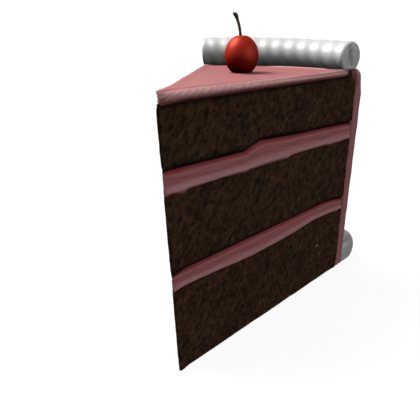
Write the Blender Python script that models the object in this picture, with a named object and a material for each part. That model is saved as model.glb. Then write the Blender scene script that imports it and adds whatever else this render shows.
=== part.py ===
"""A slice of three-layer chocolate cake: sponge, pink filling, pink icing, piped cream and a cherry.

Metres, +Z up. The base is on z = 0, the tip of the slice points to -Y and the iced rim is at +Y.
A place on the slice is given by its run, the distance from the cake's middle, and by its side,
from -1 on the left cut to 1 on the right cut, as seen from the tip.
"""
import math

import bmesh
import bpy
import numpy as np
from mathutils import Vector, noise

# Driving dimensions
CAKE_RADIUS = 0.1205
CAKE_HEIGHT = 0.1117
WEDGE_ANGLE = math.radians(43)
SIDE_ICING = 0.0062
GAP = 0.0003

# The tip is blunted by the knife
HALF_ANGLE = WEDGE_ANGLE / 2
NOSE_RADIUS = 0.0005
NOSE_RUN = NOSE_RADIUS / math.tan(HALF_ANGLE)
NOSE_REACH = NOSE_RADIUS / math.sin(HALF_ANGLE) - NOSE_RADIUS

# Sponge and fillings: heights of each seam on the right cut, as (run, height) pairs
SPONGE_RADIUS = CAKE_RADIUS - SIDE_ICING
SPONGE_TOP = ((0, 0.1079), (0.040, 0.1085), (0.114, 0.1090))
UPPER_FILLING_TOP = ((0, 0.0864), (0.041, 0.0856), (0.0455, 0.0886), (0.070, 0.0872), (0.114, 0.0858))
UPPER_FILLING_LOW = ((0, 0.0778), (0.059, 0.0773), (0.073, 0.0781), (0.114, 0.0772))
LOWER_FILLING_TOP = ((0, 0.0472), (0.006, 0.0464), (0.102, 0.0460), (0.114, 0.0440))
LOWER_FILLING_LOW = ((0, 0.0396), (0.025, 0.0381), (0.042, 0.0367), (0.069, 0.0372), (0.089, 0.0392), (0.114, 0.0376))
SEAM_RIPPLE = 0.0006
SEAM_RIPPLE_LENGTH = 0.018
SHOULDER_RADIUS = 0.0051
SHOULDER_HEIGHT = SPONGE_TOP[-1][1] - SHOULDER_RADIUS
WALL_WAVE = 0.0004
WALL_WAVE_LENGTH = 0.037
CRUMB_DEPTH = 0.0005
CRUMB_SIZE = 0.007
FILLING_HOLLOW = 0.0008
ACROSS = 6
ALONG = 24

# Icing: the outer corner and the softened edge along the cuts
ICING_CORNER = 0.0047
ICING_TOP_EDGE = 0.0026
ICING_SIDE_EDGE = 0.0010
ICING_EDGE_SHARE = 0.65
ICING_TOP_STEPS = 20
ICING_CORNER_STEPS = 4
ICING_SIDE_STEPS = 10

# Piped borders: one soft bump after another, each pressed into the last at a slant
BUMPS = 11
BUMP_STEPS = 6
BORDER_SIDES = 12
GROOVE_SHARE = 0.06
GROOVE_TURNS = 1
END_SOFT_SHARE = 0.04
END_SOFT_LENGTH = 0.0024
TOP_BORDER_RUN = 0.1122
TOP_BORDER_HALF_WIDTH = 0.0090
TOP_BORDER_HALF_HEIGHT = 0.0074
TOP_BORDER_SUNK = 0.0011
TOP_BORDER_INSETS = (0.0034, 0.0006)
BASE_BORDER_RUN = 0.1220
BASE_BORDER_HEIGHT = 0.0100
BASE_BORDER_LONG = 0.0156
BASE_BORDER_SHORT = 0.0111
BASE_BORDER_LEAN = math.radians(-30)
BASE_BORDER_INSETS = (0.0004, 0.0004)

# Cherry and stem
CHERRY_RUN = 0.0678
CHERRY_X = -0.0021
CHERRY_RADIUS = 0.0074
CHERRY_HALF_HEIGHT = 0.0083
CHERRY_SUNK = 0.0013
DIMPLE_RADIUS = 0.0022
DIMPLE_DEPTH = 0.0010
STEM_HEIGHT = 0.0080
STEM_SWAY = (-0.0020, -0.0009)
STEM_FOOT_RADIUS = 0.00065
STEM_END_RADIUS = 0.00088

# The slice is centred on its footprint: blunt tip to the outermost cream
BASE_BORDER_REACH = BASE_BORDER_RUN + math.hypot(
    BASE_BORDER_LONG * math.cos(BASE_BORDER_LEAN), BASE_BORDER_SHORT * math.sin(BASE_BORDER_LEAN)
)
MIDDLE_Y = -(NOSE_REACH + BASE_BORDER_REACH) / 2


def clear_scene():
    for old in list(bpy.data.objects):
        bpy.data.objects.remove(old, do_unlink=True)


def material(name, colour, roughness):
    made = bpy.data.materials.new(name)
    made.use_nodes = True
    shader = made.node_tree.nodes["Principled BSDF"]
    shader.inputs["Base Color"].default_value = (*colour, 1)
    shader.inputs["Roughness"].default_value = roughness
    shader.inputs["Metallic"].default_value = 0
    return made


def add_object(name, data, finish, collection):
    data.materials.append(finish)
    made = bpy.data.objects.new(name, data)
    collection.objects.link(made)
    return made


def mesh_object(name, bm, finish, collection):
    bmesh.ops.recalc_face_normals(bm, faces=bm.faces)
    mesh = bpy.data.meshes.new(name)
    bm.to_mesh(mesh)
    bm.free()
    mesh.shade_smooth()
    mesh.set_sharp_from_angle(angle=math.radians(40))
    return add_object(name, mesh, finish, collection)


def slab(across, along, rows, place):
    """A grid extruded into a block of even rows, then bent: place gets column, row along and share of height."""
    bm = bmesh.new()
    bmesh.ops.create_grid(bm, x_segments=across, y_segments=along, size=0.5)
    extruded = bmesh.ops.extrude_face_region(bm, geom=bm.faces[:])
    lifted = [item for item in extruded["geom"] if isinstance(item, bmesh.types.BMVert)]
    bmesh.ops.translate(bm, vec=(0, 0, 1), verts=lifted)
    if rows > 1:
        uprights = [edge for edge in bm.edges if abs(edge.verts[0].co.z - edge.verts[1].co.z) > 0.5]
        bmesh.ops.subdivide_edges(bm, edges=uprights, cuts=rows - 1)
    for vert in bm.verts:
        column = round((vert.co.x + 0.5) * across)
        station = round((vert.co.y + 0.5) * along)
        vert.co = place(column, station, vert.co.z)
    return bm


def on_slice(run, side, height):
    """The point at a run, side and height, with the sharp tip drawn back to a blunt nose."""
    turn = side * HALF_ANGLE
    bulge = (NOSE_RUN - NOSE_REACH) * math.exp((NOSE_RUN - run) / NOSE_RADIUS) * (1 - side * side)
    return Vector((run * math.sin(turn), MIDDLE_Y + run * math.cos(turn) - bulge, height))


def out_of_cut(side):
    """The direction out of the cut face on that side."""
    return Vector((side * math.cos(HALF_ANGLE), -math.sin(HALF_ANGLE), 0))


def seam(points, shift=0.0):
    """A height that follows the points on the right cut and wanders about their mean on the left cut."""
    runs, heights = zip(*points)
    mean = sum(heights) / len(heights)

    def height(run, side):
        right = float(np.interp(run, runs, heights))
        left = mean + SEAM_RIPPLE * noise.noise(Vector((run / SEAM_RIPPLE_LENGTH, mean / SEAM_RIPPLE, 0)))
        return left + (right - left) * (side + 1) / 2 + shift

    return height


def sponge_top(run, side=0):
    """The top of the upper sponge, level across the slice."""
    runs, heights = zip(*SPONGE_TOP)
    return float(np.interp(run, runs, heights))


def sponge_wall(height):
    """How far the sponge reaches at a height: a slow wave, then the rounded shoulder of the top layer."""
    reach = SPONGE_RADIUS + WALL_WAVE * math.sin(2 * math.pi * height / WALL_WAVE_LENGTH)
    rise = height - SHOULDER_HEIGHT
    if rise > 0:
        reach += math.sqrt(max(SHOULDER_RADIUS ** 2 - rise ** 2, 0)) - SHOULDER_RADIUS
    return reach


def crumb(spot):
    """How deep the crumb is torn out of a cut face at a spot, from 0 to CRUMB_DEPTH."""
    return CRUMB_DEPTH * (0.5 + 0.5 * noise.noise(spot / CRUMB_SIZE))


def hollow(share):
    """How far a soft filling has drawn back from the cut at a share of its height."""
    return FILLING_HOLLOW * math.sin(math.pi * share)


def cake_layer(low, high, rows, soft, crowd=1):
    """A layer between two seams; rows crowd towards the top, and a soft one is hollow where it is cut."""

    def place(column, station, share):
        side = 2 * column / ACROSS - 1
        share = 1 - (1 - share) ** crowd
        run = NOSE_RUN + (SPONGE_RADIUS - NOSE_RUN) * station / ALONG
        height = low(run, side) + (high(run, side) - low(run, side)) * share
        reach = NOSE_RUN + (sponge_wall(height) - NOSE_RUN) * station / ALONG
        spot = on_slice(reach, side, height)
        if abs(side) == 1 and 0 < station < ALONG:
            spot -= out_of_cut(side) * (hollow(share) if soft else crumb(spot))
        return spot

    return slab(ACROSS, ALONG, rows, place)


def icing_path():
    """Pairs of (run, height) points, under and over the icing, from the tip across the top and down the side."""
    pairs = []
    for step in range(ICING_TOP_STEPS):
        share = step / ICING_TOP_STEPS
        under = NOSE_RUN + (SPONGE_RADIUS - SHOULDER_RADIUS - NOSE_RUN) * share
        over = NOSE_RUN + (CAKE_RADIUS - ICING_CORNER - NOSE_RUN) * share
        pairs.append(((under, sponge_top(under) + GAP), (over, CAKE_HEIGHT)))
    for step in range(ICING_CORNER_STEPS):
        turn = math.pi / 2 * (1 - step / ICING_CORNER_STEPS)
        inner = SHOULDER_RADIUS + GAP
        under_run = SPONGE_RADIUS - SHOULDER_RADIUS + inner * math.cos(turn)
        over_run = CAKE_RADIUS - ICING_CORNER + ICING_CORNER * math.cos(turn)
        under_height = SHOULDER_HEIGHT + inner * math.sin(turn)
        over_height = CAKE_HEIGHT - ICING_CORNER + ICING_CORNER * math.sin(turn)
        pairs.append(((under_run, under_height), (over_run, over_height)))
    for step in range(ICING_SIDE_STEPS + 1):
        left = 1 - step / ICING_SIDE_STEPS
        under_height = SHOULDER_HEIGHT * left
        over_height = (CAKE_HEIGHT - ICING_CORNER) * left
        pairs.append(((sponge_wall(under_height) + GAP, under_height), (CAKE_RADIUS, over_height)))
    return pairs


def icing_edge(distance, coat):
    """How far the icing's surface has dropped at a distance from its cut edge, most on the top coat."""
    edge = ICING_SIDE_EDGE + (ICING_TOP_EDGE - ICING_SIDE_EDGE) * coat.z / coat.length
    edge = min(edge, ICING_EDGE_SHARE * coat.length)
    short = max(edge - distance, 0)
    return edge - math.sqrt(edge ** 2 - short ** 2)


def icing_sides(run):
    """The sides of the columns across the icing, crowded at the cuts where its edge is rounded."""
    width = run * HALF_ANGLE
    even = [2 * column / ACROSS - 1 for column in range(ACROSS + 1)]
    near = [1 - min(ICING_TOP_EDGE * part, width * part / ACROSS * 1.6) / width for part in (1.0, 0.35)]
    return [-1] + [-side for side in reversed(near)] + even[1:-1] + near + [1]


def icing():
    """One coat over the top and down the side, thinnest at the top and rounded where it was cut."""
    pairs = icing_path()

    def place(column, station, share):
        under, over = (Vector((run, 0, height)) for run, height in pairs[station])
        side = icing_sides(over.x)[column]
        to_cut = over.x * math.sin(HALF_ANGLE * (1 - abs(side)))
        to_nose = over.x - NOSE_RUN
        coat = over - under
        over = over.lerp(under, icing_edge(min(to_cut, to_nose), coat) / coat.length)
        spot = under.lerp(over, share)
        return on_slice(spot.x, side, spot.z)

    return slab(len(icing_sides(CAKE_RADIUS)) - 1, len(pairs) - 1, 1, place)


def bump(along_border):
    """The swell of a row of pressed bumps: 0 in a groove, 1 on a crest, for a count of bumps along."""
    return 1 - abs(2 * (along_border % 1) - 1) ** 3


def piped_border(run, height, half_long, half_short, lean, insets, floor, wall):
    """A ribbed rope of cream, spun about the cake's middle and pressed flat on its floor and wall."""
    right_turn, left_turn = (HALF_ANGLE - math.asin(inset / run) for inset in insets)
    sweep = right_turn + left_turn
    bm = bmesh.new()
    bmesh.ops.create_circle(bm, cap_ends=True, segments=BORDER_SIDES, radius=half_short)
    for vert in bm.verts:
        out = run + vert.co.x
        vert.co = (out * math.sin(right_turn), out * math.cos(right_turn), vert.co.y)
    everything = bm.verts[:] + bm.edges[:] + bm.faces[:]
    bmesh.ops.spin(bm, geom=everything, cent=(0, 0, 0), axis=(0, 0, 1), angle=sweep, steps=BUMPS * BUMP_STEPS)
    for vert in bm.verts:
        turn = math.atan2(vert.co.x, vert.co.y)
        around = math.atan2(vert.co.z, math.hypot(vert.co.x, vert.co.y) - run)
        share = (right_turn - turn) / sweep
        to_end = run * min(right_turn - turn, turn + left_turn)
        swell = 1 - GROOVE_SHARE * (1 - bump(share * BUMPS + GROOVE_TURNS * around / (2 * math.pi)))
        swell -= END_SOFT_SHARE * max(1 - to_end / END_SOFT_LENGTH, 0) ** 2
        along_long = half_long * swell * math.cos(around - lean)
        along_short = half_short * swell * math.sin(around - lean)
        out = run + along_long * math.cos(lean) - along_short * math.sin(lean)
        up = height + along_long * math.sin(lean) + along_short * math.cos(lean)
        out = max(out, wall)
        vert.co = (out * math.sin(turn), MIDDLE_Y + out * math.cos(turn), max(up, floor))
    bmesh.ops.remove_doubles(bm, verts=bm.verts, dist=0.00001)
    return bm


def cherry():
    """A round cherry, a little taller than wide, dimpled at its stem and pressed flat on the icing."""
    middle = Vector((CHERRY_X, MIDDLE_Y + CHERRY_RUN, CAKE_HEIGHT - CHERRY_SUNK + CHERRY_HALF_HEIGHT))
    bm = bmesh.new()
    bmesh.ops.create_uvsphere(bm, u_segments=24, v_segments=14, radius=1)
    for vert in bm.verts:
        out = math.hypot(vert.co.x, vert.co.y) * CHERRY_RADIUS
        dip = DIMPLE_DEPTH * math.exp(-(out / DIMPLE_RADIUS) ** 2) if vert.co.z > 0 else 0
        vert.co.x *= CHERRY_RADIUS
        vert.co.y *= CHERRY_RADIUS
        vert.co.z = vert.co.z * CHERRY_HALF_HEIGHT - dip
        vert.co += middle
        vert.co.z = max(vert.co.z, CAKE_HEIGHT + GAP)
    return bm


def cherry_stem(finish, collection):
    """A thin stem that rises from the dimple, leans to the left and thickens where it was picked."""
    foot = CAKE_HEIGHT - CHERRY_SUNK + 2 * CHERRY_HALF_HEIGHT - DIMPLE_DEPTH + GAP
    curve = bpy.data.curves.new("cherry_stem", "CURVE")
    curve.dimensions = "3D"
    curve.bevel_depth = STEM_END_RADIUS
    curve.bevel_resolution = 2
    curve.resolution_u = 4
    curve.use_fill_caps = True
    spline = curve.splines.new("NURBS")
    shares = (0, 0.12, 0.4, 0.75, 1)
    spline.points.add(len(shares) - 1)
    spline.use_endpoint_u = True
    spline.order_u = 3
    for point, share in zip(spline.points, shares):
        sway = share ** 1.6
        x = CHERRY_X + STEM_SWAY[0] * sway
        y = MIDDLE_Y + CHERRY_RUN + STEM_SWAY[1] * sway
        point.co = (x, y, foot + (STEM_HEIGHT + DIMPLE_DEPTH) * share, 1)
        point.radius = (STEM_FOOT_RADIUS + (STEM_END_RADIUS - STEM_FOOT_RADIUS) * share) / STEM_END_RADIUS
    return add_object("cherry_stem", curve, finish, collection)


def build():
    clear_scene()
    slice_parts = bpy.data.collections.new("chocolate_cake_slice")
    bpy.context.scene.collection.children.link(slice_parts)

    def flat_base(run, side):
        return 0.0

    half = GAP / 2
    seams = (LOWER_FILLING_LOW, LOWER_FILLING_TOP, UPPER_FILLING_LOW, UPPER_FILLING_TOP)
    under = [seam(points, -half) for points in seams]
    over = [seam(points, half) for points in seams]
    layers = (
        ("sponge_bottom", flat_base, under[0], False),
        ("filling_lower", over[0], under[1], True),
        ("sponge_middle", over[1], under[2], False),
        ("filling_upper", over[2], under[3], True),
    )
    for name, low, high, soft in layers:
        colour, roughness = ((0.55, 0.20, 0.20), 0.45) if soft else ((0.055, 0.030, 0.018), 0.9)
        finish = material(name, colour, roughness)
        mesh_object(name, cake_layer(low, high, 4, soft), finish, slice_parts)
    top_layer = cake_layer(over[3], sponge_top, 7, False, crowd=2)
    mesh_object("sponge_top", top_layer, material("sponge_top", (0.055, 0.030, 0.018), 0.9), slice_parts)
    mesh_object("icing", icing(), material("icing", (0.68, 0.28, 0.28), 0.4), slice_parts)

    bed = CAKE_HEIGHT + GAP
    top_border = piped_border(
        TOP_BORDER_RUN,
        CAKE_HEIGHT - TOP_BORDER_SUNK + TOP_BORDER_HALF_HEIGHT,
        TOP_BORDER_HALF_WIDTH,
        TOP_BORDER_HALF_HEIGHT,
        0,
        TOP_BORDER_INSETS,
        floor=bed,
        wall=0,
    )
    mesh_object("cream_border_top", top_border, material("cream_top", (0.86, 0.85, 0.83), 0.4), slice_parts)
    base_border = piped_border(
        BASE_BORDER_RUN,
        BASE_BORDER_HEIGHT,
        BASE_BORDER_LONG,
        BASE_BORDER_SHORT,
        BASE_BORDER_LEAN,
        BASE_BORDER_INSETS,
        floor=0,
        wall=CAKE_RADIUS + GAP,
    )
    mesh_object("cream_border_base", base_border, material("cream_base", (0.86, 0.85, 0.83), 0.4), slice_parts)
    mesh_object("cherry", cherry(), material("cherry", (0.45, 0.015, 0.01), 0.25), slice_parts)
    cherry_stem(material("cherry_stem", (0.10, 0.05, 0.025), 0.6), slice_parts)


build()
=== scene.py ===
# %% [markdown]
# # A slice of chocolate cake
# The frame holds the slice as plain solids at their real size: three sponges, two fillings, one coat of
# icing, two piped borders, a cherry and its stem. In this lesson each of them gets the surface of the
# real food. Everything is in metres. The slice stands on z = 0, its tip points to -Y, its rim to +Y.

# %% Load the frame and keep its size
import math

import bpy
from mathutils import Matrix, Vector, noise


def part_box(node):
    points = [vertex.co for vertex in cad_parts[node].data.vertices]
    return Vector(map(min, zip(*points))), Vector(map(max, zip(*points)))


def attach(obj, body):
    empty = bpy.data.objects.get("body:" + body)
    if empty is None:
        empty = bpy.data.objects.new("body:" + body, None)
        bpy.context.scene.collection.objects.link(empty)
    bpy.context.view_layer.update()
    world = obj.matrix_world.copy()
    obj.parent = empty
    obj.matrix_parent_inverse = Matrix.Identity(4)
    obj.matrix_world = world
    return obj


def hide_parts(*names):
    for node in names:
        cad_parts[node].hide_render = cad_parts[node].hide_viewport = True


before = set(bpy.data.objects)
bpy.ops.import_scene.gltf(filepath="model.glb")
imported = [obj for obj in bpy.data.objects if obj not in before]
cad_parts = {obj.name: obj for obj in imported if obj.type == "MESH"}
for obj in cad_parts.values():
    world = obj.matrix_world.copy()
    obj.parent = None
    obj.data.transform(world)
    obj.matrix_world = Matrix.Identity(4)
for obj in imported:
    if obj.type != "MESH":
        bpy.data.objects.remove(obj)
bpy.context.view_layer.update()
MM = 0.001

# %% [markdown]
# ## Measures that every piece shares
# The slice is a wedge cut from a round cake, so the cake's middle is the point that every curved line
# runs round. It lies just in front of the blunt tip. The cake's radius, its height and the two cut faces
# are read from the frame, so that the pieces made here fit the solids without any fitting by eye. The
# near cut faces the camera, and the far one faces away from it.

# %% The cake's middle, radius, height and cut faces
HALF_ANGLE = math.radians(21.5)
NOSE_RADIUS = 0.5 * MM
NOSE_REACH = NOSE_RADIUS / math.sin(HALF_ANGLE) - NOSE_RADIUS

sponge_low, sponge_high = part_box("sponge_bottom")
top_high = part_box("sponge_top")[1]
icing_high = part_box("icing")[1]
middle = Vector((0, sponge_low.y - NOSE_REACH, 0))
sponge_radius = sponge_high.y - middle.y
cake_radius = icing_high.y - middle.y
cake_height = icing_high.z
cut_normals = [Vector((side * math.cos(HALF_ANGLE), -math.sin(HALF_ANGLE), 0)) for side in (-1, 1)]
near_normal = cut_normals[1]


def depth_behind(point, cut_normal):
    """How far a point lies behind one cut face."""
    return -(point - middle).dot(cut_normal)


def depth_in_cut(point):
    """How far a point lies behind the nearer of the two cut faces."""
    return -max((point - middle).dot(normal) for normal in cut_normals)


def run_of(point):
    """The distance of a point from the upright line through the cake's middle."""
    return math.hypot(point.x - middle.x, point.y - middle.y)


def nearer_normal(point):
    """The outward direction of the nearer cut face."""
    return max(cut_normals, key=(point - middle).dot)


print("cake radius", round(cake_radius / MM, 1), "mm, height", round(cake_height / MM, 1), "mm")

# %% Soft steps and hills
# Soft food has no sudden corners, so most of the rules below fade in and out with one of these.


def clamp(value):
    """Holds a value between 0 and 1."""
    return min(max(value, 0), 1)


def ease(value):
    """0 below 0, 1 above 1, and a soft step between them."""
    part = clamp(value)
    return (3 - 2 * part) * part ** 2


def hill(distance, width):
    """1 at no distance, and softly down to nothing at about two widths."""
    return math.exp(-((distance / width) ** 2))


# %% Push the tip out
# The knife draws soft cake along, so the tip stands forward and is blunter, more so at the top.
NOSE_PUSH = 0.8 * MM
NOSE_FADE = 8 * MM
NOSE_SWELL = 0.5
SWELL_REACH = 3 * MM
PUSH_AT_FOOT = 0.2


def push_nose(point, push=NOSE_PUSH, swell=NOSE_SWELL):
    run = run_of(point)
    wide = 1 + swell * hill(run, SWELL_REACH)
    high = PUSH_AT_FOOT + (1 - PUSH_AT_FOOT) * min(point.z / cake_height, 1)
    return Vector((point.x * wide, point.y - push * high * hill(run, NOSE_FADE), point.z))


print("the tip moves by up to", NOSE_PUSH / MM, "mm")

# %% [markdown]
# ## Working like a hand at the screen
# Operators act on whatever is selected, and the loaded solids start out selected. So each step first
# selects one object alone. A modifier is a way to shape a piece that can be tuned before it is made
# final; applying it at once keeps each step's result visible in the mesh.

# %% Select one object or some faces, and apply one modifier
bpy.context.tool_settings.mesh_select_mode = (False, False, True)


def only(piece):
    """Selects this object alone and makes it the active one."""
    bpy.ops.object.select_all(action="DESELECT")
    piece.select_set(True)
    bpy.context.view_layer.objects.active = piece


def finish_with(piece, kind, **settings):
    """Adds a modifier with these settings and applies it."""
    only(piece)
    added = piece.modifiers.new(kind.title(), kind)
    for key, value in settings.items():
        setattr(added, key, value)
    bpy.ops.object.modifier_apply(modifier=added.name)


def edit(piece):
    """Opens one object in edit mode with everything in it selected."""
    only(piece)
    bpy.ops.object.mode_set(mode="EDIT")
    bpy.ops.mesh.select_all(action="SELECT")


def close_edit():
    bpy.ops.object.mode_set(mode="OBJECT")


def edit_faces(piece, rule):
    """Opens one object in edit mode with only the faces that a rule picks selected."""
    edit(piece)
    bpy.ops.mesh.select_all(action="DESELECT")
    close_edit()
    for face in piece.data.polygons:
        face.select = bool(rule(face))
    bpy.ops.object.mode_set(mode="EDIT")


def move_vertices(piece, rule):
    """Moves each vertex to where a rule on its place puts it."""
    for vertex in piece.data.vertices:
        vertex.co = rule(vertex.co)
    piece.data.update()


def settle(name):
    """Names the object that an operator has just added, and moves its place into its mesh."""
    piece = bpy.context.active_object
    piece.name = name
    piece.data.name = name
    only(piece)
    bpy.ops.object.transform_apply(location=True, rotation=True, scale=True)
    return piece


def displace(piece, texture, strength, laid_on=None, group=""):
    """Pushes a surface in and out by a texture, which an empty may draw out and tilt."""
    finish_with(
        piece,
        "DISPLACE",
        texture=texture,
        texture_coords="OBJECT" if laid_on else "GLOBAL",
        texture_coords_object=laid_on,
        strength=strength,
        mid_level=0.5,
        vertex_group=group,
    )


def face_outwards():
    """Turns all faces of the open mesh outwards and closes it."""
    bpy.ops.mesh.select_all(action="SELECT")
    bpy.ops.mesh.normals_make_consistent(inside=False)
    close_edit()


def smooth(piece, crisp_above=None):
    """Shades a piece smooth, or smooth only where faces meet at less than an angle in degrees."""
    only(piece)
    if crisp_above is None:
        bpy.ops.object.shade_smooth()
    else:
        bpy.ops.object.shade_smooth_by_angle(angle=math.radians(crisp_above))


def count(piece, stage=""):
    """Prints how many triangles a piece has."""
    triangles = sum(len(face.vertices) - 2 for face in piece.data.polygons)
    print(piece.name, stage, "has", triangles, "triangles")


# %% [markdown]
# ## Colours and materials
# A colour is written as the sRGB hex value that a picture would show, and one function turns it into the
# linear values that light is reckoned in. One function adds a shader node, sets it and links it, so a
# material reads as a short list of what lies over what. Every pattern's size is given in millimetres.

# %% Colour and node helpers


def colour(hex_value):
    """Linear RGBA for an sRGB hex value such as '#d89191'."""
    channels = [int(hex_value[place : place + 2], 16) / 255 for place in (1, 3, 5)]
    linear = [c / 12.92 if c <= 0.04045 else ((c + 0.055) / 1.055) ** 2.4 for c in channels]
    return (*linear, 1)


def feed(tree, node, inputs):
    """Links a node's inputs to sockets, or fills them with values."""
    for key, value in inputs.items():
        if isinstance(value, bpy.types.NodeSocket):
            tree.links.new(value, node.inputs[key])
        else:
            node.inputs[key].default_value = value


def add_node(tree, kind, inputs=None, stops=(), **settings):
    """Adds a node, sets its properties, fills or links its inputs, and places a colour ramp's stops."""
    made = tree.nodes.new(kind)
    for key, value in settings.items():
        setattr(made, key, value)
    feed(tree, made, inputs or {})
    for place, (position, value) in enumerate(stops):
        elements = made.color_ramp.elements
        stop = elements[place] if place < 2 else elements.new(position)
        stop.position = position
        stop.color = colour(value)
    return made


def new_material(name):
    """An empty Principled material, its node tree and its shader node."""
    made = bpy.data.materials.new(name)
    made.use_nodes = True
    return made, made.node_tree, made.node_tree.nodes["Principled BSDF"]


def per_size(size):
    """A texture's scale for features of this size in metres."""
    return 1 / size


def stretched_coordinates(tree, stretch, tilt=0.0):
    """Object coordinates drawn out along an axis: a stretch of 2 makes features twice as long there."""
    place = add_node(tree, "ShaderNodeTexCoord").outputs["Object"]
    scale = [1 / share for share in stretch]
    turned = add_node(tree, "ShaderNodeMapping", {"Vector": place, "Rotation": (tilt, 0, 0)})
    mapping = add_node(tree, "ShaderNodeMapping", {"Vector": turned.outputs["Vector"], "Scale": scale})
    return mapping.outputs["Vector"]


def noisy(tree, place, size, inputs):
    """A noise with features of this size."""
    inputs = {"Vector": place, "Scale": per_size(size), **inputs}
    return add_node(tree, "ShaderNodeTexNoise", inputs).outputs["Fac"]


def ramp(tree, source, stops):
    """The colour that a value picks between stops."""
    return add_node(tree, "ShaderNodeValToRGB", {"Fac": source}, stops=stops).outputs["Color"]


def mix(tree, factor, under, over, **settings):
    """One colour laid over another."""
    inputs = {"Factor": factor, 6: under, 7: over}
    return add_node(tree, "ShaderNodeMix", inputs, data_type="RGBA", **settings).outputs[2]


def bumpy(tree, height, strength, distance):
    """The normal of a surface that a height roughens."""
    inputs = {"Height": height, "Strength": strength, "Distance": distance}
    return add_node(tree, "ShaderNodeBump", inputs).outputs["Normal"]


# %% [markdown]
# ## Cocoa sponge
# Chocolate sponge is baked foam: dark brown, dry and dull, full of open pores of 0.5 to 3 mm that a
# knife lays bare. Its colour varies from nearly black in the pores to a warmer brown on the torn ridges.
# Noise at the size of the pores gives that, a little longer upwards than sideways, as the crumb rises,
# and tilted, as the knife drags it; the same noise bumps the crumb, so it is partly painted shade, darker
# where the crumb lies low. Darker pits, painted shade in the pores, and wide patches lie over it. Close
# to the cream the crumb is painted much darker, as painted shade in the crease there; an attribute,
# written further below, says how close.

# %% Material: baked cocoa sponge
PORE_TILT = math.radians(35)
# The crumb stops are darker where the bumped crumb lies low, partly painted shade.
CRUMB_STOPS = ((0.30, "#382418"), (0.46, "#533927"), (0.60, "#634631"), (0.76, "#7e6148"))
# Painted shade in the pores.
PORE_SHADE_STOPS = ((0.12, "#8b827b"), (0.38, "#fbfaf9"))
PATCH_STOPS = ((0.35, "#dedbd8"), (0.65, "#ffffff"))
# These stops paint shade into the crease beside the cream, darkest next to it.
CREASE_SHADE_STOPS = ((0.0, "#ffffff"), (1.0, "#1f1b19"))


def cocoa_sponge():
    made, tree, shader = new_material("baked_cocoa_sponge")
    place = stretched_coordinates(tree, (1, 1, 1.9), PORE_TILT)
    crumb = noisy(tree, place, 2.0 * MM, {"Detail": 4, "Roughness": 0.6, "Distortion": 0.4})
    # Darker pits are painted shade in the pores.
    pore_shade = add_node(
        tree,
        "ShaderNodeTexVoronoi",
        {"Vector": place, "Scale": per_size(1.7 * MM)},
        feature="SMOOTH_F1",
    ).outputs["Distance"]
    patches = noisy(tree, place, 8 * MM, {"Detail": 2})
    # An attribute paints shade into the creases beside the cream.
    crease_shade = add_node(tree, "ShaderNodeAttribute", attribute_name="crease_shade").outputs["Fac"]
    body = ramp(tree, crumb, CRUMB_STOPS)
    for source, stops in ((pore_shade, PORE_SHADE_STOPS), (patches, PATCH_STOPS), (crease_shade, CREASE_SHADE_STOPS)):
        body = mix(tree, 1.0, body, ramp(tree, source, stops), blend_type="MULTIPLY")
    normal = bumpy(tree, crumb, 0.6, 0.35 * MM)
    looks = {"Base Color": body, "Normal": normal, "Roughness": 0.92, "Specular IOR Level": 0.25}
    feed(tree, shader, looks)
    return made


sponge_material = cocoa_sponge()
print("made", sponge_material.name)

# %% [markdown]
# ## The three sponges
# Each layer is a slab of sponge between two seams. The frame's solids already have the seams' true
# lines, so each is copied and merged. Its upper and lower skins are lifted a little, because the solids
# keep a gap between them that real cake doesn't have. Only the cut faces show, so only they are
# subdivided, which spends the triangles where the crumb is torn and keeps the edges as sharp as the knife.

# %% Copy a solid, close its gaps and refine its cut faces
SEAM_GAP = 0.3 * MM
CUT_DEPTH = 1.4 * MM
SAME_WAY = 0.75


def copy_solid(node, name):
    """A copy of one of the frame's solids, its loose triangles merged into one skin."""
    piece = bpy.data.objects.new(name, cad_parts[node].data.copy())
    piece.data.name = name
    piece.data.materials.clear()
    bpy.context.scene.collection.objects.link(piece)
    edit(piece)
    bpy.ops.mesh.remove_doubles(threshold=0.001 * MM)
    bpy.ops.mesh.customdata_custom_splitnormals_clear()
    close_edit()
    return piece


def lift_skin(piece, direction, distance):
    """Moves the upper skin up (direction 1) or the lower one down (-1), but not a flat foot."""
    edit_faces(piece, lambda face: face.normal.z * direction > SAME_WAY and face.center.z > MM)
    bpy.ops.transform.translate(value=(0, 0, direction * distance))
    close_edit()


def is_cut_face(face):
    """Whether a face lies on either of the two cuts."""
    facing = max(face.normal.dot(normal) for normal in cut_normals)
    return facing > SAME_WAY and depth_in_cut(face.center) < CUT_DEPTH


def refine_cuts(piece, cuts):
    edit_faces(piece, is_cut_face)
    bpy.ops.mesh.subdivide(number_cuts=cuts)
    close_edit()


# %% Weigh the cut faces
# A vertex group says how far a modifier moves each vertex. The crumb is calmer at the tip and the foot.
TIP_CALM = 5 * MM
FOOT_CALM = 2 * MM


def weigh(piece, group_name, rule):
    """A vertex group whose weights follow a rule on each vertex."""
    group = piece.vertex_groups.new(name=group_name)
    for vertex in piece.data.vertices:
        weight = rule(vertex)
        if weight > 0:
            group.add([vertex.index], weight, "REPLACE")
    return group.name


def weigh_cuts(piece):
    """Two groups: all of the cut faces, calmer at tip and foot, and the cut faces without their borders."""
    on_cut = set()
    elsewhere = set()
    for face in piece.data.polygons:
        (on_cut if is_cut_face(face) else elsewhere).update(face.vertices)

    def calm(vertex):
        if vertex.index not in on_cut:
            return 0
        from_tip = min(max((run_of(vertex.co) - NOSE_REACH) / TIP_CALM, 0.2), 1)
        from_foot = min(max(vertex.co.z / FOOT_CALM, 0.1), 1)
        return from_tip * from_foot

    bare = weigh(piece, "bare_cut", calm)
    inside = on_cut - elsewhere
    inner = weigh(piece, "inner_cut", lambda vertex: float(vertex.index in inside))
    return bare, inner


# %% Textures that push a surface in and out


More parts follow.
